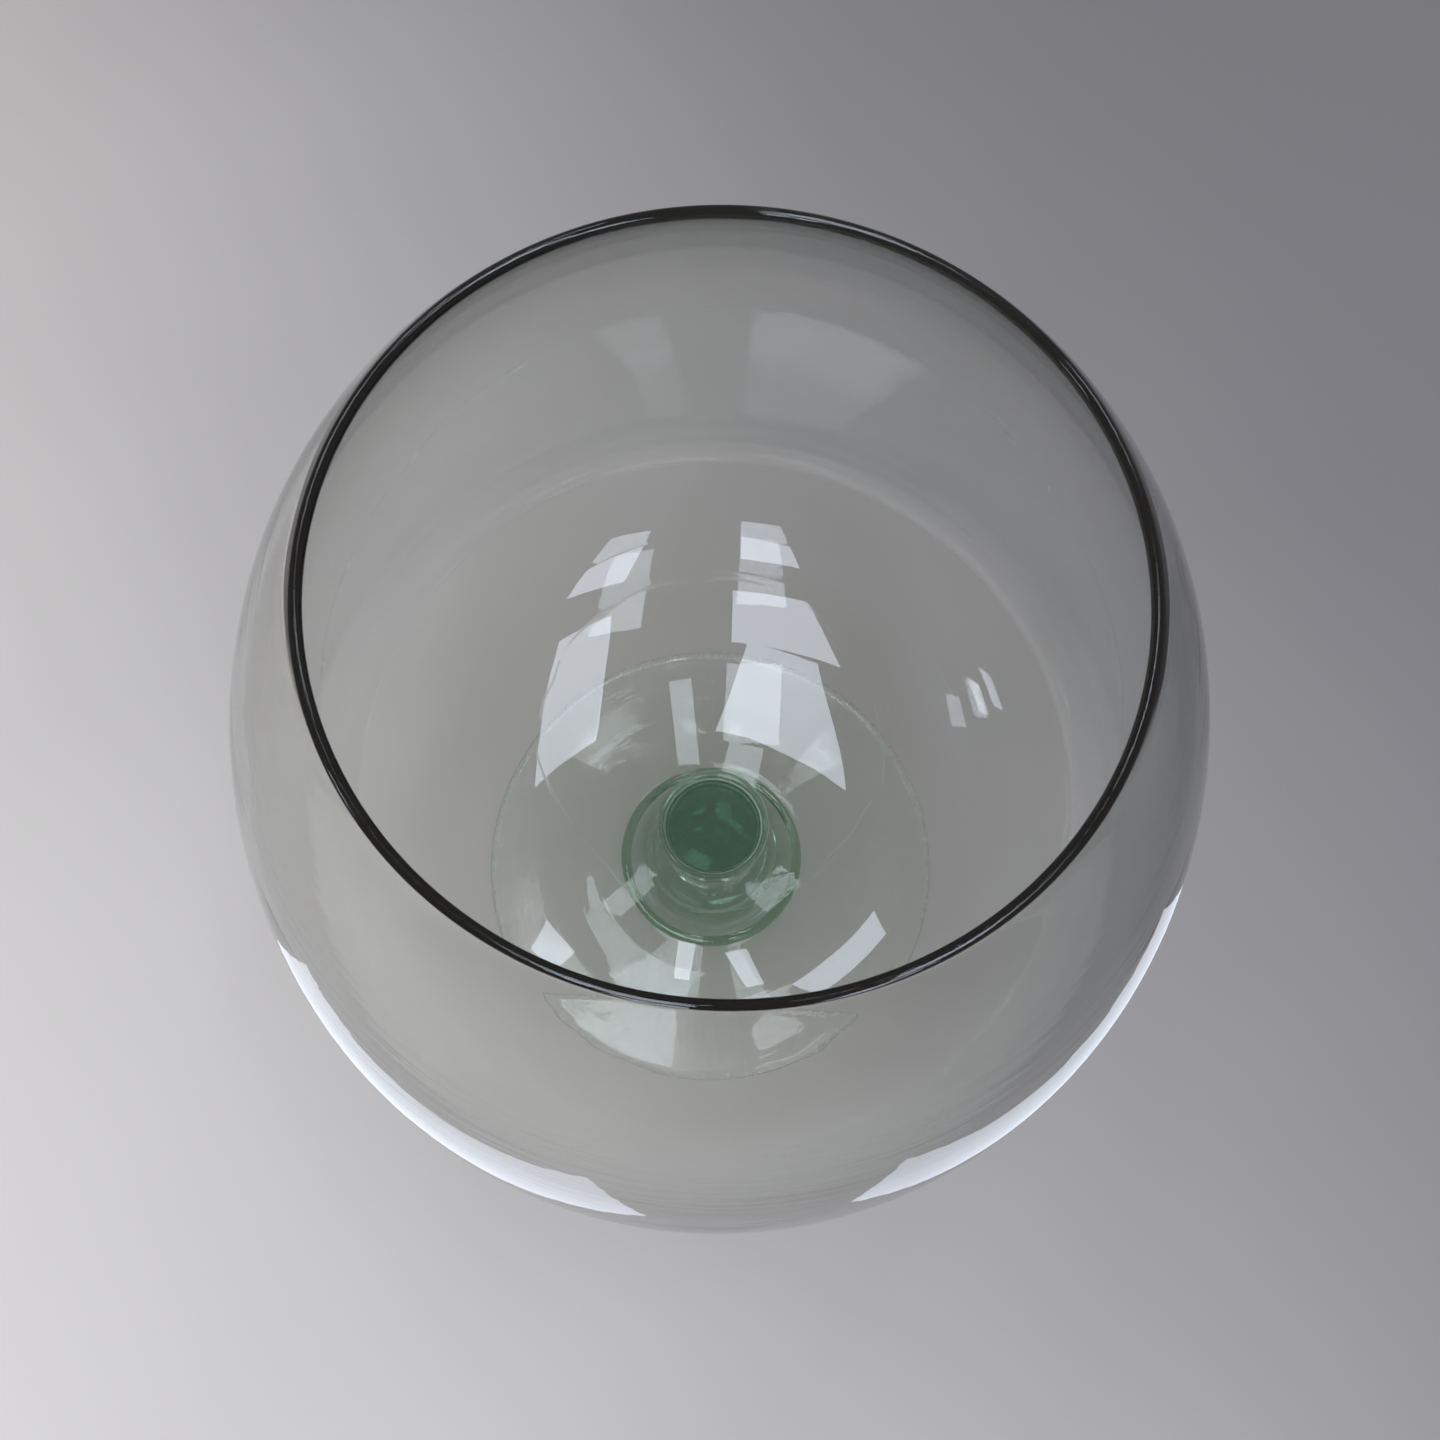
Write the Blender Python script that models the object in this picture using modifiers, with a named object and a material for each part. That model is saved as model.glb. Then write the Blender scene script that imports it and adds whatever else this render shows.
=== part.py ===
"""Brandy snifter: a blown bowl on a short waisted stem and a round foot.

Three gathers of glass, each turned about +Z. The origin is the centre of the plane that
the foot rests on. Lengths are in metres.
"""
import math

import bpy

# Bowl
RIM_DIAMETER = 0.0700        # across the middle of the rounded lip
BELLY_DIAMETER = 0.1120      # outside, at the widest height
SHOULDER_HEIGHT = 0.0660     # from the belly up to the top of the lip
BELLY_DEPTH = 0.0320         # from the belly down to the underside on the axis
WALL = 0.0014                # glass from the lip down to the belly
BASE_WALL = 0.0050           # glass at the bottom of the bowl, on the axis
BASE_WALL_POWER = 5          # a higher power keeps the thick glass closer to the axis
LIP_DIAMETER = 0.0018        # fire-polished bead round the mouth
LIP_BLEND = 0.0025           # length of wall that swells into the bead
LIP_WRAP = math.radians(25)  # how far the bead turns back below its own centre

# Stem
STEM_LENGTH = 0.0235         # on the axis, between the foot and the bowl
STEM_TOP_DIAMETER = 0.0176   # where it spreads under the bowl
STEM_WAIST_DIAMETER = 0.0138
STEM_BASE_DIAMETER = 0.0298  # where it spreads over the foot
WAIST_DROP = 0.0043          # waist below the stem's top, on the axis
STEM_SPREAD_POWER = 1.6      # of the curve below the waist: 1 is a straight cone, 2 an ellipse
STEM_EDGE = 0.0006           # glass left at the rims of its two spread ends

# Foot
FOOT_DIAMETER = 0.0760
FOOT_HEIGHT = 0.0050         # at the seat of the stem
FOOT_EDGE = 0.0024           # thickness of the rounded edge
RESTING_RING_WIDTH = 0.0090  # flat ring that stands on the table
UNDERSIDE_RISE = 0.0015      # hollow of the underside at its centre

# Seam between two gathers
SEAM_GAP = 0.0003

# Facets
STEPS = 48                   # round each turned piece
WALL_SEGMENTS = 9            # along the shoulder, and again along the lower bowl
ARC_SEGMENTS = 6             # along each fillet, lip and edge

RIM_RADIUS = RIM_DIAMETER / 2
BELLY_RADIUS = BELLY_DIAMETER / 2
LIP_RADIUS = LIP_DIAMETER / 2
STEM_TOP_RADIUS = STEM_TOP_DIAMETER / 2
STEM_WAIST_RADIUS = STEM_WAIST_DIAMETER / 2
STEM_BASE_RADIUS = STEM_BASE_DIAMETER / 2
FOOT_RADIUS = FOOT_DIAMETER / 2
QUARTER_TURN = math.pi / 2
HALF_TURN = math.pi
FULL_TURN = 2 * math.pi


def spread(start, stop, segments):
    """Evenly spaced values from start to stop, both ends included."""
    return [start + (stop - start) * i / segments for i in range(segments + 1)]


def ellipse_point(angle, radial, vertical):
    """Point of an ellipse about the axis, at this angle above its widest height."""
    return radial * math.cos(angle), vertical * math.sin(angle)


def ellipse_normal(angle, radial, vertical):
    """Outward unit normal of that ellipse at the same angle."""
    across = math.cos(angle) / radial
    up = math.sin(angle) / vertical
    length = math.hypot(across, up)
    return across / length, up / length


def moved(point, direction, distance):
    """The point moved along a unit direction."""
    return point[0] + direction[0] * distance, point[1] + direction[1] * distance


def raised(points, height):
    """The same points, higher by height."""
    return [(radius, z + height) for radius, z in points]


def bowl_rise(radius):
    """Height of the bowl's underside at this radius, above its lowest point."""
    return BELLY_DEPTH * (1 - math.sqrt(1 - (radius / BELLY_RADIUS) ** 2))


def shoulder_walls():
    """Inner wall going up, lip, and outer wall coming down, from the belly's height."""
    middle_radius = BELLY_RADIUS - WALL / 2
    lip_height = SHOULDER_HEIGHT - LIP_RADIUS
    lip_angle = math.acos(RIM_RADIUS / middle_radius)
    middle_height = lip_height / math.sin(lip_angle)
    blend = LIP_BLEND / math.hypot(middle_radius * math.sin(lip_angle), middle_height * math.cos(lip_angle))

    inner = []
    outer = []
    for angle in spread(0, lip_angle - blend, WALL_SEGMENTS):
        middle = ellipse_point(angle, middle_radius, middle_height)
        normal = ellipse_normal(angle, middle_radius, middle_height)
        inner.append(moved(middle, normal, -WALL / 2))
        outer.append(moved(middle, normal, WALL / 2))

    lip_normal = ellipse_normal(lip_angle, middle_radius, middle_height)
    lip_rise = (-lip_normal[1], lip_normal[0])
    lip = []
    for turn in spread(HALF_TURN + LIP_WRAP, -LIP_WRAP, 2 * ARC_SEGMENTS):
        side = moved((RIM_RADIUS, lip_height), lip_normal, LIP_RADIUS * math.cos(turn))
        lip.append(moved(side, lip_rise, LIP_RADIUS * math.sin(turn)))
    return inner + lip + outer[::-1]


def lower_walls():
    """Inner and outer wall below the belly, each from just under it down to the axis."""
    inner = []
    outer = []
    for angle in spread(0, -QUARTER_TURN, WALL_SEGMENTS)[1:]:
        skin = ellipse_point(angle, BELLY_RADIUS, BELLY_DEPTH)
        normal = ellipse_normal(angle, BELLY_RADIUS, BELLY_DEPTH)
        thickening = math.sin(-angle) ** BASE_WALL_POWER
        inner.append(moved(skin, normal, -WALL - (BASE_WALL - WALL) * thickening))
        outer.append(skin)
    return inner, outer


def bowl_profile():
    """Half section of the bowl, from its inside bottom over the lip to its underside."""
    inner, outer = lower_walls()
    return raised(inner[::-1] + shoulder_walls() + outer, BELLY_DEPTH)


def stem_profile():
    """Half section of the stem: a seat under the bowl, the waist and a seat on the foot."""
    waist_height = STEM_LENGTH - WAIST_DROP
    seat = []
    for radius in spread(0, STEM_TOP_RADIUS, ARC_SEGMENTS):
        seat.append((radius, STEM_LENGTH + bowl_rise(radius)))

    upper_height = seat[-1][1] - STEM_EDGE - waist_height
    lower_height = waist_height - STEM_EDGE
    upper_fillet = []
    lower_fillet = []
    for angle in spread(QUARTER_TURN, 0, ARC_SEGMENTS):
        radius = STEM_TOP_RADIUS - (STEM_TOP_RADIUS - STEM_WAIST_RADIUS) * math.cos(angle)
        upper_fillet.append((radius, waist_height + upper_height * math.sin(angle)))
    for angle in spread(0, QUARTER_TURN, ARC_SEGMENTS)[1:]:
        across = (STEM_BASE_RADIUS - STEM_WAIST_RADIUS) * math.cos(angle) ** (2 / STEM_SPREAD_POWER)
        down = lower_height * math.sin(angle) ** (2 / STEM_SPREAD_POWER)
        lower_fillet.append((STEM_BASE_RADIUS - across, waist_height - down))
    return seat + upper_fillet + lower_fillet + [(STEM_BASE_RADIUS, 0), (0, 0)]


def foot_profile():
    """Half section of the foot: stem seat, falling top, rounded edge and hollow underside."""
    edge_radius = FOOT_EDGE / 2
    edge_centre = FOOT_RADIUS - edge_radius
    top = [(0, FOOT_HEIGHT)]
    for share in spread(0, 1, ARC_SEGMENTS)[:-1]:
        radius = STEM_BASE_RADIUS + (edge_centre - STEM_BASE_RADIUS) * share
        top.append((radius, FOOT_EDGE + (FOOT_HEIGHT - FOOT_EDGE) * (1 - share) ** 2))

    edge = []
    for angle in spread(QUARTER_TURN, -QUARTER_TURN, ARC_SEGMENTS):
        across, up = ellipse_point(angle, edge_radius, edge_radius)
        edge.append((edge_centre + across, edge_radius + up))

    hollow = []
    for radius in spread(edge_centre - RESTING_RING_WIDTH, 0, ARC_SEGMENTS):
        hollow.append((radius, UNDERSIDE_RISE * (1 - (radius / (edge_centre - RESTING_RING_WIDTH)) ** 2)))
    return top + edge + hollow


def glass(name, color, roughness):
    """Clear glass with its own tint."""
    material = bpy.data.materials.new(name)
    material.use_nodes = True
    shader = material.node_tree.nodes["Principled BSDF"]
    shader.inputs["Base Color"].default_value = (*color, 1)
    shader.inputs["Roughness"].default_value = roughness
    shader.inputs["Metallic"].default_value = 0
    shader.inputs["Transmission Weight"].default_value = 1
    shader.inputs["IOR"].default_value = 1.52
    return material


def turned(name, profile, height, material, collection, parent):
    """Turn a half section about the axis and stand it at this height."""
    mesh = bpy.data.meshes.new(name)
    edges = [(i, i + 1) for i in range(len(profile) - 1)]
    mesh.from_pydata([(radius, 0, z) for radius, z in profile], edges, [])
    mesh.materials.append(material)
    piece = bpy.data.objects.new(name, mesh)
    piece.parent = parent
    piece.location.z = height
    collection.objects.link(piece)

    screw = piece.modifiers.new("Turn", "SCREW")
    screw.axis = "Z"
    screw.angle = FULL_TURN
    screw.steps = STEPS
    screw.render_steps = STEPS
    screw.use_merge_vertices = True
    screw.merge_threshold = 0.00001
    screw.use_smooth_shade = True
    return piece


def main():
    """Clear the scene and build the snifter, from the foot up."""
    for leftover in list(bpy.data.objects):
        bpy.data.objects.remove(leftover, do_unlink=True)

    collection = bpy.data.collections.new("Brandy snifter")
    bpy.context.scene.collection.children.link(collection)
    stand = bpy.data.objects.new("snifter", None)
    collection.objects.link(stand)

    stem_height = FOOT_HEIGHT + SEAM_GAP
    bowl_height = stem_height + STEM_LENGTH + SEAM_GAP
    foot_glass = glass("foot glass", (0.80, 0.88, 0.82), 0.03)
    stem_glass = glass("stem glass", (0.60, 0.74, 0.64), 0.02)
    bowl_glass = glass("bowl glass", (0.93, 0.95, 0.93), 0.01)
    turned("foot", foot_profile(), 0, foot_glass, collection, stand)
    turned("stem", stem_profile(), stem_height, stem_glass, collection, stand)
    turned("bowl", bowl_profile(), bowl_height, bowl_glass, collection, stand)


main()
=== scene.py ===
"""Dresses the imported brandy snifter: finely turned glass over the CAD frame, studio light and camera.

Lengths are in metres, in the CAD model's own frame: +Z is the axis of turning, and the origin is
the centre of the plane that the foot rests on.
"""
import logging
import math
import random
from dataclasses import dataclass
from enum import Enum
from typing import Any, Optional, Union

import bpy
from mathutils import Matrix, Vector


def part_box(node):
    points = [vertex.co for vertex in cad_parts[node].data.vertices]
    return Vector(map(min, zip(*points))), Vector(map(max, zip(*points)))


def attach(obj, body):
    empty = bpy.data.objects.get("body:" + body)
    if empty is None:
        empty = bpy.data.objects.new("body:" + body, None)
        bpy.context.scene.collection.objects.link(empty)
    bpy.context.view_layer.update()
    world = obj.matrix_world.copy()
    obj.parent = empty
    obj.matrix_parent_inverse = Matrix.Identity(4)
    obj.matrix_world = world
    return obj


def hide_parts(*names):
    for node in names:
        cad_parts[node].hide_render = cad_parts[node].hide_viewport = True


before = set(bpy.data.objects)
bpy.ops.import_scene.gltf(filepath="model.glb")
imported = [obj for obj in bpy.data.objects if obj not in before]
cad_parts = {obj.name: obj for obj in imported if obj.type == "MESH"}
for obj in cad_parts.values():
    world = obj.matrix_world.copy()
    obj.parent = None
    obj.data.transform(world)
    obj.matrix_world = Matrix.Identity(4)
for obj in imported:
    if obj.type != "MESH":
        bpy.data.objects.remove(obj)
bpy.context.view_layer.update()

Colour = tuple[float, float, float]
Point = tuple[float, float, float]
Spot = tuple[float, float]
Profile = list[Spot]
Seam = tuple[float, float, float, float]    # nearest to the axis, farthest, lowest and highest

QUARTER_TURN = math.pi / 2
HALF_TURN = math.pi
FULL_TURN = 2 * math.pi
SEAM_LAP = 0.00004      # how far two gathers run into each other where they are fused
SEAM_EASE = 0.000005    # sharpness of a fused skin's edge
LOG = logging.getLogger("snifter")


class Gather(Enum):
    """The three gathers of glass, by the names of their CAD nodes."""

    BOWL = "bowl"
    STEM = "stem"
    FOOT = "foot"

    @property
    def slot(self) -> str:
        """The record's material slot for this gather."""
        return f"{self.value}_glass"

    @property
    def piece(self) -> str:
        """The name of the fine piece that stands for the CAD node."""
        return f"turned_{self.value}"


class Sum(Enum):
    """The Math node operations that the finishes use."""

    ADD = "ADD"
    TAKE = "SUBTRACT"
    TIMES = "MULTIPLY"
    OVER = "DIVIDE"
    POWER = "POWER"
    SIZE = "ABSOLUTE"


class Wire:
    """A shader socket that Python's operators work on."""

    def __init__(self, bench: "Bench", made: bpy.types.Node, output: Union[int, str]) -> None:
        """Holds one output of a node.

        Args:
            bench: The node tree that the node stands in.
            made: The node.
            output: The name or number of its output.
        """
        self.bench = bench
        self.made = made
        self.output = output

    @property
    def socket(self) -> bpy.types.NodeSocket:
        """The output socket itself."""
        return self.made.outputs[self.output]

    def pin(self, output: Union[int, str]) -> "Wire":
        """Another output of the same node."""
        return Wire(self.bench, self.made, output)

    def _sum(self, kind: Sum, first: "Value", second: "Value" = 0.0) -> "Wire":
        """A Math node on two values."""
        return self.bench.node("ShaderNodeMath", {"operation": kind.value}, {0: first, 1: second})

    def __add__(self, other: "Value") -> "Wire":
        """self + other."""
        return self._sum(Sum.ADD, self, other)

    def __radd__(self, other: "Value") -> "Wire":
        """other + self."""
        return self._sum(Sum.ADD, other, self)

    def __sub__(self, other: "Value") -> "Wire":
        """self - other."""
        return self._sum(Sum.TAKE, self, other)

    def __rsub__(self, other: "Value") -> "Wire":
        """other - self."""
        return self._sum(Sum.TAKE, other, self)

    def __mul__(self, other: "Value") -> "Wire":
        """self * other."""
        return self._sum(Sum.TIMES, self, other)

    def __rmul__(self, other: "Value") -> "Wire":
        """other * self."""
        return self._sum(Sum.TIMES, other, self)

    def __truediv__(self, other: "Value") -> "Wire":
        """self / other."""
        return self._sum(Sum.OVER, self, other)

    def __rtruediv__(self, other: "Value") -> "Wire":
        """other / self."""
        return self._sum(Sum.OVER, other, self)

    def __pow__(self, other: "Value") -> "Wire":
        """self to the power of other."""
        return self._sum(Sum.POWER, self, other)

    def __abs__(self) -> "Wire":
        """The size of self."""
        return self._sum(Sum.SIZE, self)

    def eased(self, start: float, stop: float) -> "Wire":
        """A smooth step from 0 at start to 1 at stop.

        Args:
            start: The value below which the result is 0.
            stop: The value above which it is 1.

        Returns:
            The eased value.
        """
        ends = {0: self, 1: start, 2: stop, 3: 0.0, 4: 1.0}
        return self.bench.node("ShaderNodeMapRange", {"interpolation_type": "SMOOTHSTEP"}, ends)


Value = Union[Wire, float]
Tint = Union[Wire, Colour]


class Bench:
    """The node tree of one finish, where its shader is put together."""

    def __init__(self, tree: bpy.types.NodeTree) -> None:
        """Clears a node tree to work on.

        Args:
            tree: The node tree of a material or of the world.
        """
        self.tree = tree
        tree.nodes.clear()

    def node(
        self,
        kind: str,
        settings: Optional[dict[str, Any]] = None,
        inputs: Optional[dict[Union[int, str], Any]] = None,
        output: Union[int, str] = 0,
    ) -> Wire:
        """Adds a node, sets it and wires it.

        Args:
            kind: The node's type.
            settings: The node's own settings, set first.
            inputs: The values or wires of its input sockets.
            output: The output that the returned wire stands for.

        Returns:
            A wire from the node.
        """
        made = self.tree.nodes.new(kind)
        for name, value in (settings or {}).items():
            setattr(made, name, value)
        for key, value in (inputs or {}).items():
            if isinstance(value, Wire):
                self.tree.links.new(value.socket, made.inputs[key])
            else:
                made.inputs[key].default_value = value
        return Wire(self, made, output)

    def place(self) -> Wire:
        """Where a point of the piece is, in the CAD frame."""
        return self.node("ShaderNodeTexCoord", output="Object")

    def axes(self, vector: Wire) -> tuple[Wire, Wire, Wire]:
        """The X, Y and Z of a vector.

        Args:
            vector: The vector.

        Returns:
            Its three values.
        """
        split = self.node("ShaderNodeSeparateXYZ", inputs={0: vector})
        return split, split.pin(1), split.pin(2)

    def outward(self, place: Wire) -> Wire:
        """Tells the outside of a turned wall from its inside.

        Args:
            place: Where a point is.

        Returns:
            1 on the outside and 0 on the inside.
        """
        across, along, _ = self.axes(place)
        across_facing, along_facing, _ = self.axes(place.pin("Normal"))
        return (across * across_facing + along * along_facing).eased(-0.0001, 0.0001)

    def turned(self, place: Wire) -> tuple[Wire, Wire]:
        """A point's distance from the axis, and its height.

        Args:
            place: Where the point is.

        Returns:
            Distance and height.
        """
        across, along, up = self.axes(place)
        return (across * across + along * along) ** 0.5, up

    def slant(self) -> Wire:
        """How far a skin is met edge on, from 0 face on to 1."""
        return self.node("ShaderNodeLayerWeight", inputs={"Blend": 0.5}, output="Facing")

    def rings(self, place: Wire, pitch: float, sweep: float) -> Wire:
        """Noise drawn out round the axis, as a turning tool leaves it.

        Args:
            place: Where a point is.
            pitch: Rings per metre.
            sweep: Changes per metre along a ring.

        Returns:
            The noise, from 0 to 1.
        """
        across, along, up = self.axes(place)
        out = (across * across + along * along) ** 0.5 + up
        drawn = {0: out * pitch, 1: across * sweep, 2: along * sweep}
        return self.cloud(self.node("ShaderNodeCombineXYZ", inputs=drawn), 1.0)

    def stretched(self, vector: Wire, scale: Point) -> Wire:
        """The vector with each axis scaled, which stretches a pattern along the smaller scales."""
        return self.node("ShaderNodeMapping", inputs={"Vector": vector, "Scale": scale})

    def cloud(self, vector: Wire, scale: float, detail: float = 2.0, roughness: float = 0.5) -> Wire:
        """Noise from 0 to 1.

        Args:
            vector: Where to read the noise.
            scale: Blotches per metre.
            detail: Finer octaves.
            roughness: How strong the finer octaves are.

        Returns:
            The noise.
        """
        return self.node(
            "ShaderNodeTexNoise",
            inputs={"Vector": vector, "Scale": scale, "Detail": detail, "Roughness": roughness},
        )

    def blended(self, share: Value, first: Tint, second: Colour) -> Wire:
        """A colour between two colours.

        Args:
            share: 0 for the first colour, 1 for the second.
            first: The first colour.
            second: The second colour.

        Returns:
            The blended colour.
        """
        start = first if isinstance(first, Wire) else (*first, 1.0)
        ends = {0: share, 6: start, 7: (*second, 1.0)}
        return self.node("ShaderNodeMix", {"data_type": "RGBA"}, ends, output=2)


@dataclass(frozen=True)
class Glass:
    """Clear glass with a green cast, tinted by the length that light goes through it."""

    name: str
    let_through: Colour         # the volume's colour
    density: float              # and how much a metre takes off
    shade: Colour               # what one skin leaves of a lamp's light, for the shadow on the table
    seams: tuple[Seam, ...]     # where its skin is melted into the next gather
    pale: Colour = (0.995, 1.0, 0.995)
    deep: Colour = (0.972, 0.982, 0.966)
    edge: Colour = (0.25, 0.25, 0.25)       # painted shade: the colour of a wall seen edge on, darker in place of the dark room that it would mirror
    painted_edge_shade_from: Spot = (0.75, 1.0)           # where that painted shade starts and is full, from 0 face on to 1 edge on
    slant_power: float = 4.0                # how late a slanted skin starts to turn a lamp's light away
    bend: float = 1.52
    haze_scale: float = 60.0                # blotches per metre, as are the other scales
    haze_from: Spot = (0.62, 0.9)
    haze_most: float = 0.02
    streak_scale: float = 45.0
    streak_detail: float = 3.0
    streak_from: Spot = (0.3, 0.8)

    def relief(self, bench: Bench, place: Wire) -> Wire:
        """Waves of the skin, in metres, which each kind of glass has of its own.

        Args:
            bench: The finish's node tree.
            place: Where a point is.

        Returns:
            The height of the skin.
        """
        raise NotImplementedError(self.name)

    def haze(self, bench: Bench, place: Wire) -> Wire:
        """Roughness of the skin.

        Args:
            bench: The finish's node tree.
            place: Where a point is.

        Returns:
            The roughness.
        """
        return bench.cloud(place, self.haze_scale).eased(*self.haze_from) * self.haze_most

    def streaks(self, bench: Bench, place: Wire) -> Wire:
        """Share of the deeper colour.

        Args:
            bench: The finish's node tree.
            place: Where a point is.

        Returns:
            The share, from 0 to 1.
        """
        return bench.cloud(place, self.streak_scale, self.streak_detail).eased(*self.streak_from)

    def tint_with_painted_edge_shade(self, bench: Bench, place: Wire) -> Wire:
        """Colour that the skin lets through: streaky, with painted shade where it is seen edge on, darker in
        place of the dark room that it would mirror.

        Args:
            bench: The finish's node tree.
            place: Where a point is.

        Returns:
            The colour.
        """
        body = bench.blended(self.streaks(bench, place), self.pale, self.deep)
        # Painted shade: the skin's colour darkens where it is seen edge on, standing in for the dark room
        # that it would mirror.
        return bench.blended(bench.slant().eased(*self.painted_edge_shade_from), body, self.edge)

    def fused(self, bench: Bench, place: Wire) -> Wire:
        """Where the skin is melted into the next gather, so that it neither bends nor mirrors light.

        Args:
            bench: The finish's node tree.
            place: Where a point is.

        Returns:
            1 at a seam and 0 elsewhere.
        """
        out, up = bench.turned(place)
        seam = 0.0
        for near, far, low, high in self.seams:
            level = up.eased(low - SEAM_EASE, low + SEAM_EASE) - up.eased(high - SEAM_EASE, high + SEAM_EASE)
            ring = out.eased(near - SEAM_EASE, near + SEAM_EASE) - out.eased(far - SEAM_EASE, far + SEAM_EASE)
            seam = level * ring + seam
        return seam

    def material(self) -> bpy.types.Material:
        """Makes the material.

        Returns:
            The finished material.
        """
        made = bpy.data.materials.new(self.name)
        made.use_nodes = True
        bench = Bench(made.node_tree)
        place = bench.place()
        waves = bench.node(
            "ShaderNodeBump",
            inputs={"Strength": 1.0, "Distance": 1.0, "Height": self.relief(bench, place)},
        )
        skin = bench.node(
            "ShaderNodeBsdfPrincipled",
            inputs={
                "Base Color": self.tint_with_painted_edge_shade(bench, place),
                "Roughness": self.haze(bench, place),
                "Metallic": 0.0,
                "IOR": self.bend,
                "Transmission Weight": 1.0,
                "Normal": waves,
            },
        )
        open_way = bench.node("ShaderNodeBsdfTransparent", inputs={"Color": (*self.shade, 1.0)})
        shut_way = bench.node("ShaderNodeBsdfTransparent", inputs={"Color": (0.0, 0.0, 0.0, 1.0)})
        turned_away = bench.slant() ** self.slant_power
        lamp_way = bench.node("ShaderNodeMixShader", inputs={0: turned_away, 1: open_way, 2: shut_way})
        lamp_ray = bench.node("ShaderNodeLightPath", output="Is Shadow Ray")
        paper_ray = lamp_ray.pin("Is Diffuse Ray")
        melted = bench.node("ShaderNodeBsdfTransparent")
        surface = bench.node("ShaderNodeMixShader", inputs={0: self.fused(bench, place), 1: skin, 2: melted})
        surface = bench.node("ShaderNodeMixShader", inputs={0: paper_ray, 1: surface, 2: lamp_way})
        surface = bench.node("ShaderNodeMixShader", inputs={0: lamp_ray, 1: surface, 2: lamp_way})
        body = bench.node(
            "ShaderNodeVolumeAbsorption",
            inputs={"Color": (*self.let_through, 1.0), "Density": self.density},
        )
        bench.node("ShaderNodeOutputMaterial", inputs={"Surface": surface, "Volume": body})
        return made


@dataclass(frozen=True)
class BlownGlass(Glass):
    """The bowl's glass: level ripples from blowing and turning, and the line of a dried drink."""

    mark_centre: Spot = (-0.001, 0.013)
    mark_radius: float = 0.0265
    mark_wander: float = 0.007
    mark_width: float = 0.00035
    mark_fades: Spot = (0.048, 0.052)       # heights where it starts to fade and is gone
    mark_haze: float = 0.22
    wander_scale: float = 42.0
    break_scale: float = 120.0              # of the breaks in the line
    break_from: Spot = (0.35, 0.6)
    smear_scale: Point = (50.0, 50.0, 20.0)
    smear_from: Spot = (0.6, 0.9)
    smear_haze: float = 0.012
    ripple_pitch: float = 650.0             # ripples per metre
    ripple_sweep: float = 30.0              # changes per metre along a ripple
    ripple_height: float = 0.000015
    swell_scale: float = 55.0
    swell_height: float = 0.00006
    swell_from: Spot = (0.009, 0.019)       # distance from the axis, so that the bottom stays smooth

    def relief(self, bench: Bench, place: Wire) -> Wire:
        """Waves of the skin, in metres: ripples outside, and broad swells that leave the bottom smooth."""
        out, _ = bench.turned(place)
        ripples = bench.rings(place, self.ripple_pitch, self.ripple_sweep) * bench.outward(place)
        swells = (bench.cloud(place, self.swell_scale, 1.0) - 0.5) * out.eased(*self.swell_from)
        return ripples * self.ripple_height + swells * self.swell_height

    def haze(self, bench: Bench, place: Wire) -> Wire:
        """Roughness of the skin: polished, with faint smears and the dried line."""
        across, along, up = bench.axes(place)
        across = across - self.mark_centre[0]
        along = along - self.mark_centre[1]
        wander = (bench.cloud(place, self.wander_scale, 2.0) - 0.5) * self.mark_wander
        off_line = abs((across * across + along * along) ** 0.5 + wander - self.mark_radius)
        line = (1.0 - off_line.eased(0.0, self.mark_width)) * (1.0 - up.eased(*self.mark_fades))
        unbroken = bench.cloud(place, self.break_scale).eased(*self.break_from)
        line = line * (1.0 - bench.outward(place)) * unbroken
        smears = bench.cloud(bench.stretched(place, self.smear_scale), 1.0, 3.0).eased(*self.smear_from)
        return line * self.mark_haze + smears * self.smear_haze


@dataclass(frozen=True)
class DrawnGlass(Glass):
    """The stem's glass: cords drawn along its length."""

    crown: Spot = (0.056, 0.032)        # half width and depth of the round that the bowl sits in
    crown_bottom: float = 0.0291
    lap_from: Spot = (0.3, 0.6)         # shares of the lap where the skin starts to be melted and is
    cord_scale: Point = (220.0, 220.0, 30.0)
    cord_height: float = 0.00003

    def fused(self, bench: Bench, place: Wire) -> Wire:
        """Where the skin is melted into the bowl above and the foot below."""
        out, up = bench.turned(place)
        round_off = 1.0 - (1.0 - (out / self.crown[0]) ** 2.0) ** 0.5
        above = up - self.crown_bottom - round_off * self.crown[1]
        start, full = self.lap_from
        return above.eased(SEAM_LAP * start, SEAM_LAP * full) + super().fused(bench, place)

    def relief(self, bench: Bench, place: Wire) -> Wire:
        """Waves of the skin, in metres: cords that run up the stem."""
        return bench.cloud(bench.stretched(place, self.cord_scale), 1.0) * self.cord_height


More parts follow.
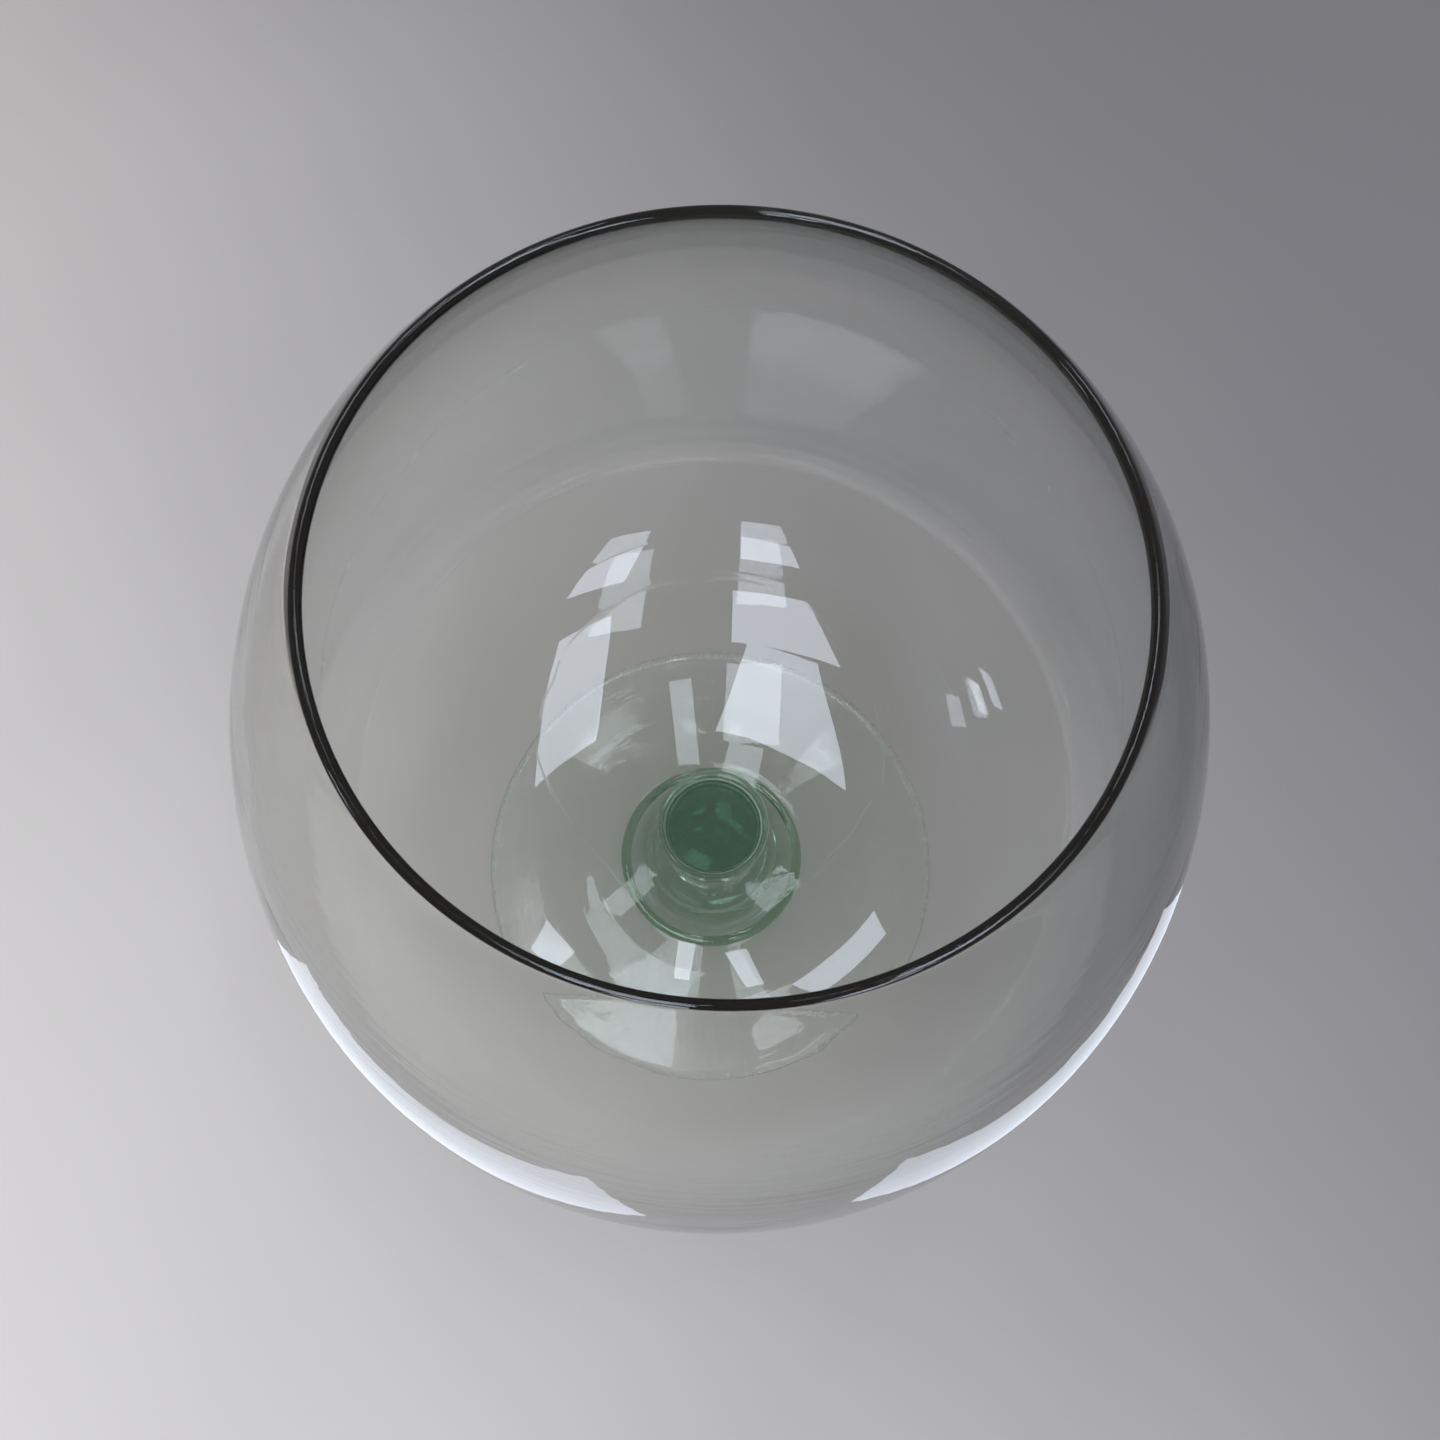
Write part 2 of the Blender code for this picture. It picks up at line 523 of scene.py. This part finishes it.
@dataclass(frozen=True)
class PressedGlass(Glass):
    """The foot's glass: turning marks round the axis, and wear where it stands."""

    ring_pitch: float = 420.0               # turning marks per metre
    ring_sweep: float = 12.0                # changes per metre along a mark
    ring_height: float = 0.00002
    scuff_scale: Point = (900.0, 300.0, 300.0)
    scuff_from: Spot = (0.45, 0.7)
    polish: float = 0.004
    worn_height: float = 0.0003
    worn_haze: Spot = (0.04, 0.10)          # all over, and added where it is scuffed
    chafed_from: Spot = (0.0368, 0.0372)    # where the rim that gets knocked starts and is full
    chafed_haze: Spot = (0.22, 0.06)

    def relief(self, bench: Bench, place: Wire) -> Wire:
        """Waves of the skin, in metres: rings left by the tool that spread the foot."""
        return bench.rings(place, self.ring_pitch, self.ring_sweep) * self.ring_height

    def haze(self, bench: Bench, place: Wire) -> Wire:
        """Roughness of the skin: polished above, scuffed on the resting ring and chafed at the rim."""
        out, up = bench.turned(place)
        scuffs = bench.cloud(bench.stretched(place, self.scuff_scale), 1.0, 4.0).eased(*self.scuff_from)
        worn = (1.0 - up.eased(0.0, self.worn_height)) * (self.worn_haze[0] + scuffs * self.worn_haze[1])
        chafed = out.eased(*self.chafed_from) * (self.chafed_haze[0] + scuffs * self.chafed_haze[1])
        return worn + chafed + self.polish


class Lathe:
    """Turns half sections of glass about the axis, as meshes."""

    steps = 192             # round each piece
    start_size = 0.001      # of the plane that a half section is drawn from
    merge = 0.000001
    seed_segments = 14
    seed_rings = 9

    def turn(self, name: str, section: Profile) -> bpy.types.Object:
        """Draws a half section and spins it round the axis.

        Args:
            name: The piece's name.
            section: Radius and height of each point, from axis to axis.

        Returns:
            The turned piece, smooth and closed.
        """
        bpy.ops.object.select_all(action="DESELECT")
        bpy.ops.mesh.primitive_plane_add(size=self.start_size, location=(0, 0, 0))
        piece = bpy.context.active_object
        piece.name = name
        piece.data.name = name
        bpy.ops.object.mode_set(mode="EDIT")
        bpy.ops.mesh.select_mode(type="VERT")
        bpy.ops.mesh.select_all(action="SELECT")
        bpy.ops.mesh.merge(type="CENTER")
        bpy.ops.transform.translate(value=(section[0][0], 0, section[0][1]))
        for (radius, height), (next_radius, next_height) in zip(section, section[1:]):
            step = (next_radius - radius, 0, next_height - height)
            bpy.ops.mesh.extrude_vertices_move(TRANSFORM_OT_translate={"value": step})
        bpy.ops.mesh.select_all(action="SELECT")
        bpy.ops.mesh.spin(steps=self.steps, angle=FULL_TURN, center=(0, 0, 0), axis=(0, 0, 1))
        bpy.ops.mesh.select_all(action="SELECT")
        bpy.ops.mesh.remove_doubles(threshold=self.merge)
        bpy.ops.mesh.normals_make_consistent(inside=False)
        bpy.ops.object.mode_set(mode="OBJECT")
        bpy.ops.object.shade_smooth()
        return piece

    def seed(self, spot: Point, radius: float, stretch: Point) -> bpy.types.Object:
        """Blows a small bubble, as a hollow whose skin faces into its own air.

        Args:
            spot: The bubble's middle.
            radius: Its radius before it is drawn out.
            stretch: How far it is drawn out along each axis.

        Returns:
            The bubble's skin.
        """
        bpy.ops.object.select_all(action="DESELECT")
        bpy.ops.mesh.primitive_uv_sphere_add(
            segments=self.seed_segments, ring_count=self.seed_rings, radius=radius, location=spot,
        )
        bubble = bpy.context.active_object
        bpy.ops.object.mode_set(mode="EDIT")
        bpy.ops.mesh.select_all(action="SELECT")
        bpy.ops.transform.resize(value=stretch)
        bpy.ops.mesh.flip_normals()
        bpy.ops.object.mode_set(mode="OBJECT")
        bpy.ops.object.shade_smooth()
        return bubble

    def hollowed(self, piece: bpy.types.Object, bubbles: list[bpy.types.Object]) -> bpy.types.Object:
        """Joins bubbles into the glass round them.

        Args:
            piece: The glass.
            bubbles: The bubbles' skins.

        Returns:
            The same piece, with the bubbles in it.
        """
        bpy.ops.object.select_all(action="DESELECT")
        for part in (*bubbles, piece):
            part.select_set(True)
        bpy.context.view_layer.objects.active = piece
        bpy.ops.object.join()
        return piece


def spread(start: float, stop: float, segments: int) -> list[float]:
    """Evenly spaced values.

    Args:
        start: The first value.
        stop: The last value.
        segments: Steps between them.

    Returns:
        The values, both ends included.
    """
    return [start + (stop - start) * i / segments for i in range(segments + 1)]


def ellipse_point(angle: float, radial: float, vertical: float) -> Spot:
    """Point of an ellipse about the axis, at this angle above its widest height."""
    return radial * math.cos(angle), vertical * math.sin(angle)


def ellipse_normal(angle: float, radial: float, vertical: float) -> Spot:
    """Outward unit normal of an ellipse about the axis.

    Args:
        angle: Angle above its widest height.
        radial: Its half width.
        vertical: Its half height.

    Returns:
        The normal, outwards and upwards.
    """
    across = math.cos(angle) / radial
    up = math.sin(angle) / vertical
    length = math.hypot(across, up)
    return across / length, up / length


def moved(point: Spot, direction: Spot, distance: float) -> Spot:
    """The point moved along a unit direction."""
    return point[0] + direction[0] * distance, point[1] + direction[1] * distance


def settle(piece: bpy.types.Object, gather: Gather, finish: Glass) -> None:
    """Gives a piece its finish and puts it in the place of its CAD node.

    Args:
        piece: The finished mesh.
        gather: The CAD node that it stands for.
        finish: Its glass.
    """
    piece.data.materials.clear()
    piece.data.materials.append(finish.material())
    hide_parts(gather.value)
    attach(piece, "root")
    LOG.info("%s: %d faces", piece.name, len(piece.data.polygons))


@dataclass
class Bowl:
    """The blown bowl, from its thick bottom over the belly to the rounded lip."""

    rim_diameter: float = 0.0700        # across the middle of the rounded lip
    belly_diameter: float = 0.1120
    shoulder_height: float = 0.0660     # from the belly up to the top of the lip
    belly_depth: float = 0.0320         # from the belly down to the underside on the axis
    wall: float = 0.0012
    base_wall: float = 0.0050
    base_wall_power: float = 5
    lip_diameter: float = 0.0012
    lip_blend: float = 0.0025           # length of wall below the lip that is drawn into it
    lip_wrap: float = 0.0               # how far the lip turns back below its own centre
    wall_segments: int = 48
    arc_segments: int = 10
    finish: Glass = BlownGlass(
        "blown clear glass", let_through=(0.30, 0.36, 0.28), density=45.0, shade=(0.955, 0.96, 0.95),
        pale=(0.90, 0.905, 0.89), deep=(0.865, 0.875, 0.85),
        # Painted shade: the wall darkens where it is seen edge on.
        edge=(0.20, 0.20, 0.20), painted_edge_shade_from=(0.55, 1.0),
        seams=((-1.0, 0.0088, 0.0290, 0.0315),),
    )

    @property
    def bottom(self) -> float:
        """Height of the underside on the axis."""
        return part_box(Gather.BOWL.value)[0].z

    def underside(self, radius: float) -> float:
        """Height of the underside at this radius."""
        return self.bottom + self.belly_depth * (1 - math.sqrt(1 - (2 * radius / self.belly_diameter) ** 2))

    def shoulder(self) -> Profile:
        """Draws the wall above the belly.

        Returns:
            Inner wall going up, lip, and outer wall coming down.
        """
        belly_height = self.bottom + self.belly_depth
        lip_radius = self.lip_diameter / 2
        middle_radius = (self.belly_diameter - self.wall) / 2
        lip_height = self.shoulder_height - lip_radius
        lip_angle = math.acos(self.rim_diameter / 2 / middle_radius)
        middle_height = lip_height / math.sin(lip_angle)
        pace = math.hypot(middle_radius * math.sin(lip_angle), middle_height * math.cos(lip_angle))

        inner = []
        outer = []
        for angle in spread(0, lip_angle - self.lip_blend / pace, self.wall_segments):
            middle = ellipse_point(angle, middle_radius, middle_height)
            normal = ellipse_normal(angle, middle_radius, middle_height)
            inner.append(moved(middle, normal, -self.wall / 2))
            outer.append(moved(middle, normal, self.wall / 2))

        lip_normal = ellipse_normal(lip_angle, middle_radius, middle_height)
        lip_rise = (-lip_normal[1], lip_normal[0])
        lip = []
        for turn in spread(HALF_TURN + self.lip_wrap, -self.lip_wrap, 2 * self.arc_segments):
            side = moved((self.rim_diameter / 2, lip_height), lip_normal, lip_radius * math.cos(turn))
            lip.append(moved(side, lip_rise, lip_radius * math.sin(turn)))
        return [(radius, height + belly_height) for radius, height in inner + lip + outer[::-1]]

    def lower(self) -> tuple[Profile, Profile]:
        """Draws the wall below the belly, which thickens towards the axis.

        Returns:
            Inner and outer wall, each from just under the belly down to the axis.
        """
        belly_height = self.bottom + self.belly_depth
        inner = []
        outer = []
        for angle in spread(0, -QUARTER_TURN, self.wall_segments)[1:]:
            skin = ellipse_point(angle, self.belly_diameter / 2, self.belly_depth)
            normal = ellipse_normal(angle, self.belly_diameter / 2, self.belly_depth)
            thickening = math.sin(-angle) ** self.base_wall_power
            depth = self.wall + (self.base_wall - self.wall) * thickening
            radius, height = moved(skin, normal, -depth)
            inner.append((radius, height + belly_height))
            outer.append((skin[0], skin[1] + belly_height))
        return inner, outer

    def build(self, lathe: Lathe) -> bpy.types.Object:
        """Turns the bowl and dresses it.

        Args:
            lathe: The lathe.

        Returns:
            The finished bowl.
        """
        inner, outer = self.lower()
        piece = lathe.turn(Gather.BOWL.piece, inner[::-1] + self.shoulder() + outer)
        settle(piece, Gather.BOWL, self.finish)
        return piece


@dataclass
class Stem:
    """The short waisted stem, fused to the bowl above and the foot below."""

    top_diameter: float = 0.0176
    waist_diameter: float = 0.0138
    base_diameter: float = 0.0298
    waist_height: float = 0.0245
    top_edge: float = 0.0010        # glass at the rim under the bowl
    top_toe: float = 0.0005         # rounding of that rim
    base_edge: float = 0.0015       # and the same over the foot
    base_toe: float = 0.0007
    spread_power: float = 1.6       # of the curve below the waist: 1 is a straight cone, 2 an ellipse
    segments: int = 24
    toe_segments: int = 5
    seeds: int = 22
    seed_sizes: Spot = (0.00006, 0.00016)
    seed_reach: float = 0.85        # share of the waist that they keep within
    seed_heights: Spot = (0.0075, 0.0275)
    seed_stretch: Spot = (1.1, 2.2)
    seed_draw: int = 5              # start of the random draw
    finish: Glass = DrawnGlass(
        "drawn green glass", let_through=(0.25, 0.57, 0.41), density=62.0, shade=(0.96, 0.975, 0.965),
        # Painted shade: the stem darkens to a deeper green where it is seen edge on.
        edge=(0.25, 0.38, 0.31), painted_edge_shade_from=(0.60, 1.0),
        seams=((-1.0, 0.0058, 0.0049, 0.00498), (0.0084, 0.0128, 0.0049, 0.00498)),
    )

    def section(self, bowl: Bowl, foot_top: float) -> Profile:
        """Draws the half section, from the seat under the bowl to the seat on the foot.

        Args:
            bowl: The bowl that the stem carries.
            foot_top: Height of the foot's seat.

        Returns:
            The half section.
        """
        top = self.top_diameter / 2
        waist = self.waist_diameter / 2
        base = self.base_diameter / 2
        upper_edge = bowl.underside(top) - self.top_edge
        lower_edge = foot_top + self.base_edge

        seat = [(radius, bowl.underside(radius) + SEAM_LAP) for radius in spread(0, top, self.segments)]
        upper_toe = []
        for angle in spread(0, -QUARTER_TURN, self.toe_segments):
            across, up = ellipse_point(angle, self.top_toe, self.top_toe)
            upper_toe.append((top - self.top_toe + across, upper_edge + self.top_toe + up))
        upper = []
        for angle in spread(QUARTER_TURN, 0, self.segments)[1:]:
            across, up = ellipse_point(angle, top - self.top_toe - waist, upper_edge - self.waist_height)
            upper.append((top - self.top_toe - across, self.waist_height + up))
        lower = []
        for angle in spread(0, QUARTER_TURN, self.segments)[1:]:
            across = (base - self.base_toe - waist) * math.cos(angle) ** (2 / self.spread_power)
            up = (self.waist_height - lower_edge) * math.sin(angle) ** (2 / self.spread_power)
            lower.append((base - self.base_toe - across, self.waist_height - up))
        lower_toe = []
        for angle in spread(QUARTER_TURN, 0, self.toe_segments)[1:]:
            across, up = ellipse_point(angle, self.base_toe, self.base_toe)
            lower_toe.append((base - self.base_toe + across, lower_edge - self.base_toe + up))
        underside = [(base, foot_top - SEAM_LAP), (0, foot_top - SEAM_LAP)]
        return seat + upper_toe + upper + lower + lower_toe + underside

    def bubbles(self, lathe: Lathe) -> list[bpy.types.Object]:
        """Scatters seeds through the stem, drawn out along it.

        Args:
            lathe: The lathe.

        Returns:
            The seeds.
        """
        chance = random.Random(self.seed_draw)
        made = []
        for _ in range(self.seeds):
            turn = chance.uniform(0, FULL_TURN)
            out = self.waist_diameter / 2 * self.seed_reach * math.sqrt(chance.random())
            spot = (out * math.cos(turn), out * math.sin(turn), chance.uniform(*self.seed_heights))
            size = chance.uniform(*self.seed_sizes)
            made.append(lathe.seed(spot, size, (1, 1, chance.uniform(*self.seed_stretch))))
        return made

    def build(self, lathe: Lathe, bowl: Bowl, foot_top: float) -> bpy.types.Object:
        """Turns the stem and dresses it.

        Args:
            lathe: The lathe.
            bowl: The bowl that the stem carries.
            foot_top: Height of the foot's seat.

        Returns:
            The finished stem.
        """
        piece = lathe.turn(Gather.STEM.piece, self.section(bowl, foot_top))
        lathe.hollowed(piece, self.bubbles(lathe))
        settle(piece, Gather.STEM, self.finish)
        return piece


@dataclass
class Foot:
    """The round foot: a falling top, a rounded edge and a hollow underside on a flat ring."""

    diameter: float = 0.0760
    seat_diameter: float = 0.0298       # flat under the stem
    height: float = 0.0050
    edge: float = 0.0024
    ring_width: float = 0.0090
    rise: float = 0.0015
    segments: int = 40
    edge_segments: int = 24
    finish: Glass = PressedGlass(
        "pressed pale green glass", let_through=(0.3, 0.66, 0.42), density=11.0, shade=(0.995, 1.0, 0.995),
        # Painted shade, faint: the foot darkens a little where it is seen edge on.
        edge=(0.92, 0.96, 0.94),
        seams=((-1.0, 0.0058, 0.0049, 0.0051), (0.0084, 0.0128, 0.0049, 0.0051)),
    )

    def section(self) -> Profile:
        """Draws the half section.

        Returns:
            Stem seat, falling top, rounded edge, resting ring and hollow.
        """
        edge_radius = self.edge / 2
        edge_centre = self.diameter / 2 - edge_radius
        seat = self.seat_diameter / 2
        top = [(0, self.height), (seat / 2, self.height)]
        for share in spread(0, 1, self.segments)[:-1]:
            fall = (self.height - self.edge) * (1 - share) ** 2
            top.append((seat + (edge_centre - seat) * share, self.edge + fall))

        edge = []
        for angle in spread(QUARTER_TURN, -QUARTER_TURN, self.edge_segments):
            across, up = ellipse_point(angle, edge_radius, edge_radius)
            edge.append((edge_centre + across, edge_radius + up))

        hollow = []
        ring = edge_centre - self.ring_width
        for radius in spread(ring, 0, self.segments):
            hollow.append((radius, self.rise * (1 - (radius / ring) ** 2)))
        return top + edge + hollow

    def build(self, lathe: Lathe) -> bpy.types.Object:
        """Turns the foot and dresses it.

        Args:
            lathe: The lathe.

        Returns:
            The finished foot.
        """
        piece = lathe.turn(Gather.FOOT.piece, self.section())
        settle(piece, Gather.FOOT, self.finish)
        return piece


def panel(name: str, place: Point, size: Spot, brightness: float, colour: Colour) -> bpy.types.Object:
    """Puts up an even bright panel, face down, which the camera doesn't see.

    Args:
        name: The lamp's name.
        place: Its middle.
        size: Its width and length.
        brightness: Its radiance.
        colour: Its colour.

    Returns:
        The lamp.
    """
    bpy.ops.object.light_add(type="AREA", location=place)
    lamp = bpy.context.active_object
    lamp.name = name
    lamp.data.shape = "RECTANGLE"
    lamp.data.size, lamp.data.size_y = size
    lamp.data.energy = brightness * math.pi * size[0] * size[1]
    lamp.data.color = colour
    lamp.visible_camera = False
    return lamp


@dataclass(frozen=True)
class Softbox:
    """A soft lamp: an even bright panel that hangs face down over the table."""

    name: str
    centre: Spot
    size: Spot
    turn: float = 0.0           # about the upright
    brightness: float = 7.2
    colour: Colour = (0.80, 0.87, 1.0)
    height: float = 0.70
    mirrored: bool = True       # whether the skin that faces the eye mirrors it
    through: bool = True        # whether it shows through that skin, off the others

    def hang(self) -> bpy.types.Object:
        """Puts the lamp up.

        Returns:
            The lamp.
        """
        place = (*self.centre, self.height)
        lamp = panel(self.name, place, self.size, self.brightness, self.colour)
        lamp.rotation_euler = (0, 0, self.turn)
        lamp.visible_glossy = self.mirrored
        lamp.visible_transmission = self.through
        return lamp


@dataclass(frozen=True)
class Card:
    """A pale card laid beside the glass, which shows only as a sheen along its lower outside."""

    name: str
    centre: Spot
    size: Spot
    turn: float                 # about the upright, from lying across the view
    brightness: float
    colour: Colour = (0.80, 0.87, 1.0)
    height: float = 0.001

    def lay(self) -> bpy.types.Object:
        """Lays the card face up.

        Returns:
            The lamp that stands for it.
        """
        place = (*self.centre, self.height)
        lamp = panel(self.name, place, self.size, self.brightness, self.colour)
        lamp.rotation_euler = (HALF_TURN, 0, self.turn)
        lamp.visible_diffuse = False
        lamp.visible_transmission = False
        return lamp


@dataclass(frozen=True)
class Paper:
    """Pale paper that the glass stands on, with painted shade: greyer away from the main lamp, in place of
    the lamp's falloff.
    """

    name: str = "pale paper"
    pale: Colour = (0.93, 0.895, 0.86)
    painted_falloff_grey: Colour = (0.229, 0.226, 0.238)
    slope: Spot = (0.85, 0.53)          # which way the painted shade darkens it, away from the main lamp
    fade: Spot = (-0.322, 0.191)        # where along that way the painted shade starts and is full
    blotch_scale: float = 9.0
    blotch_reach: float = 0.05          # how far the blotches shift it
    fibre_scale: float = 1400.0
    fibre_depth: float = 0.0001
    fibre_strength: float = 0.15
    roughness: float = 0.85
    shine: float = 0.1

    def material(self) -> bpy.types.Material:
        """Makes the material.

        Returns:
            The finished material.
        """
        made = bpy.data.materials.new(self.name)
        made.use_nodes = True
        bench = Bench(made.node_tree)
        place = bench.place()
        across, along, _ = bench.axes(place)
        blotches = (bench.cloud(place, self.blotch_scale) - 0.5) * self.blotch_reach
        # Painted shade: the paper darkens away from the main lamp, standing in for the lamp's falloff; the
        # blotches make its edge uneven.
        share = (across * self.slope[0] + along * self.slope[1] + blotches).eased(*self.fade)
        fibres = bench.cloud(place, self.fibre_scale, 3.0)
        rough = bench.node(
            "ShaderNodeBump",
            inputs={"Strength": self.fibre_strength, "Distance": self.fibre_depth, "Height": fibres},
        )
        skin = bench.node(
            "ShaderNodeBsdfPrincipled",
            inputs={
                "Base Color": bench.blended(share, self.pale, self.painted_falloff_grey),
                "Roughness": self.roughness,
                "Specular IOR Level": self.shine,
                "Normal": rough,
            },
        )
        bench.node("ShaderNodeOutputMaterial", inputs={"Surface": skin})
        return made


@dataclass
class Studio:
    """Floor, lamps, surroundings and camera."""

    floor_size: float = 6.0
    floor_drop: float = 0.0002
    horizon: Colour = (0.42, 0.40, 0.38)
    zenith: Colour = (0.36, 0.34, 0.32)
    dusk: Spot = (0.0, 0.35)                # rise of the view where the dimming starts and is full
    bounces: int = 24
    glossy_bounces: int = 16
    paper: Paper = Paper()
    lamps: tuple[Softbox, ...] = (
        Softbox("near_left_window", (-0.072, -0.126), (0.128, 0.182)),
        Softbox("near_left_pane", (-0.049, 0.0455), (0.078, 0.155), math.radians(-9.3)),
        Softbox("front_left_window", (-0.096, -0.579), (0.136, 0.378), math.radians(-1.5)),
        Softbox("near_right_window", (0.174, -0.005), (0.097, 0.270), math.radians(22), through=False),
        Softbox("front_right_window", (0.305, -0.473), (0.145, 0.390), math.radians(7.8)),
        Softbox("back_left_window", (-0.145, 0.312), (0.107, 0.075), math.radians(44)),
        Softbox("back_right_window", (0.190, 0.365), (0.150, 0.050), math.radians(54)),
        Softbox("back_left_strip", (-0.029, 0.275), (0.014, 0.075), math.radians(20)),
        Softbox("back_right_strip", (0.015, 0.262), (0.010, 0.065), math.radians(-6)),
        Softbox("near_strip", (0.0785, -0.075), (0.047, 0.195), math.radians(11), mirrored=False),
        Softbox("left_slit", (-0.74, -0.14), (0.10, 0.11)),
        Softbox("far_left_slit", (-0.96, -0.21), (0.14, 0.15)),
        Softbox("soft_fill", (-0.2, 0.0), (1.2, 1.2), 0.0, 0.6, (1.0, 0.97, 0.94), 1.2, False, False),
    )
    cards: tuple[Card, ...] = (
        Card("left_card", (-0.058, -0.069), (0.10, 0.032), math.radians(-40), 0.9),
        Card("right_card", (0.076, -0.050), (0.10, 0.030), math.radians(56), 0.9),
    )
    image_side: int = 1440
    focal_pixels: float = 1200.0
    sensor: float = 36.0
    eye: Point = (0.0, -0.04155, 0.2158)
    pitch: float = math.radians(72.35)      # below the horizon
    yaw: float = math.radians(0.047)
    roll: float = math.radians(3.613)

    def lay_floor(self) -> None:
        """Lays the paper under the glass."""
        bpy.ops.object.select_all(action="DESELECT")
        bpy.ops.mesh.primitive_plane_add(size=self.floor_size, location=(0, 0, -self.floor_drop))
        floor = bpy.context.active_object
        floor.name = "paper_floor"
        floor.data.materials.append(self.paper.material())
        LOG.info("%s: %.1f m square", floor.name, self.floor_size)

    def hang_lamps(self) -> None:
        """Puts up the softboxes."""
        for softbox in self.lamps:
            lamp = softbox.hang()
            LOG.info("%s: %.1f W", lamp.name, lamp.data.energy)
        for card in self.cards:
            lamp = card.lay()
            LOG.info("%s: %.3f W", lamp.name, lamp.data.energy)

    def surround(self) -> None:
        """Makes the room: pale low down, dim overhead."""
        world = bpy.data.worlds.new("dim studio")
        world.use_nodes = True
        bpy.context.scene.world = world
        bench = Bench(world.node_tree)
        _, _, up = bench.axes(bench.node("ShaderNodeTexCoord", output="Generated"))
        colour = bench.blended(up.eased(*self.dusk), self.horizon, self.zenith)
        glow = bench.node("ShaderNodeBackground", inputs={"Color": colour, "Strength": 1.0})
        bench.node("ShaderNodeOutputWorld", inputs={"Surface": glow})
        LOG.info("%s", world.name)

    def set_camera(self) -> None:
        """Stands the camera where the photograph was taken from."""
        ahead = Vector((
            math.sin(self.yaw) * math.cos(self.pitch),
            math.cos(self.yaw) * math.cos(self.pitch),
            -math.sin(self.pitch),
        ))
        level = ahead.cross(Vector((0, 0, 1))).normalized()
        upright = level.cross(ahead)
        right = level * math.cos(self.roll) + upright * math.sin(self.roll)
        top = upright * math.cos(self.roll) - level * math.sin(self.roll)
        bpy.ops.object.camera_add()
        camera = bpy.context.active_object
        camera.name = "camera"
        camera.data.sensor_width = self.sensor
        camera.data.lens = self.sensor * self.focal_pixels / self.image_side
        camera.data.clip_start = 0.001
        stand = Matrix((right, top, -ahead)).transposed().to_4x4()
        stand.translation = self.eye
        camera.matrix_world = stand
        bpy.context.scene.camera = camera
        LOG.info("%s: %.1f mm lens", camera.name, camera.data.lens)

    def set_up(self) -> None:
        """Builds the whole studio."""
        self.lay_floor()
        self.hang_lamps()
        self.surround()
        self.set_camera()
        scene = bpy.context.scene
        scene.view_settings.view_transform = "Standard"
        scene.cycles.max_bounces = self.bounces
        scene.cycles.transmission_bounces = self.bounces
        scene.cycles.glossy_bounces = self.glossy_bounces
        scene.cycles.transparent_max_bounces = self.bounces
        scene.cycles.caustics_reflective = False
        scene.cycles.caustics_refractive = False


def main() -> None:
    """Builds the snifter from the foot up, and the studio round it."""
    logging.basicConfig(level=logging.INFO, format="%(name)s: %(message)s")
    lathe = Lathe()
    bowl = Bowl()
    foot = Foot()
    foot.build(lathe)
    Stem().build(lathe, bowl, foot.height)
    bowl.build(lathe)
    Studio().set_up()


if __name__ == "__main__":
    main()
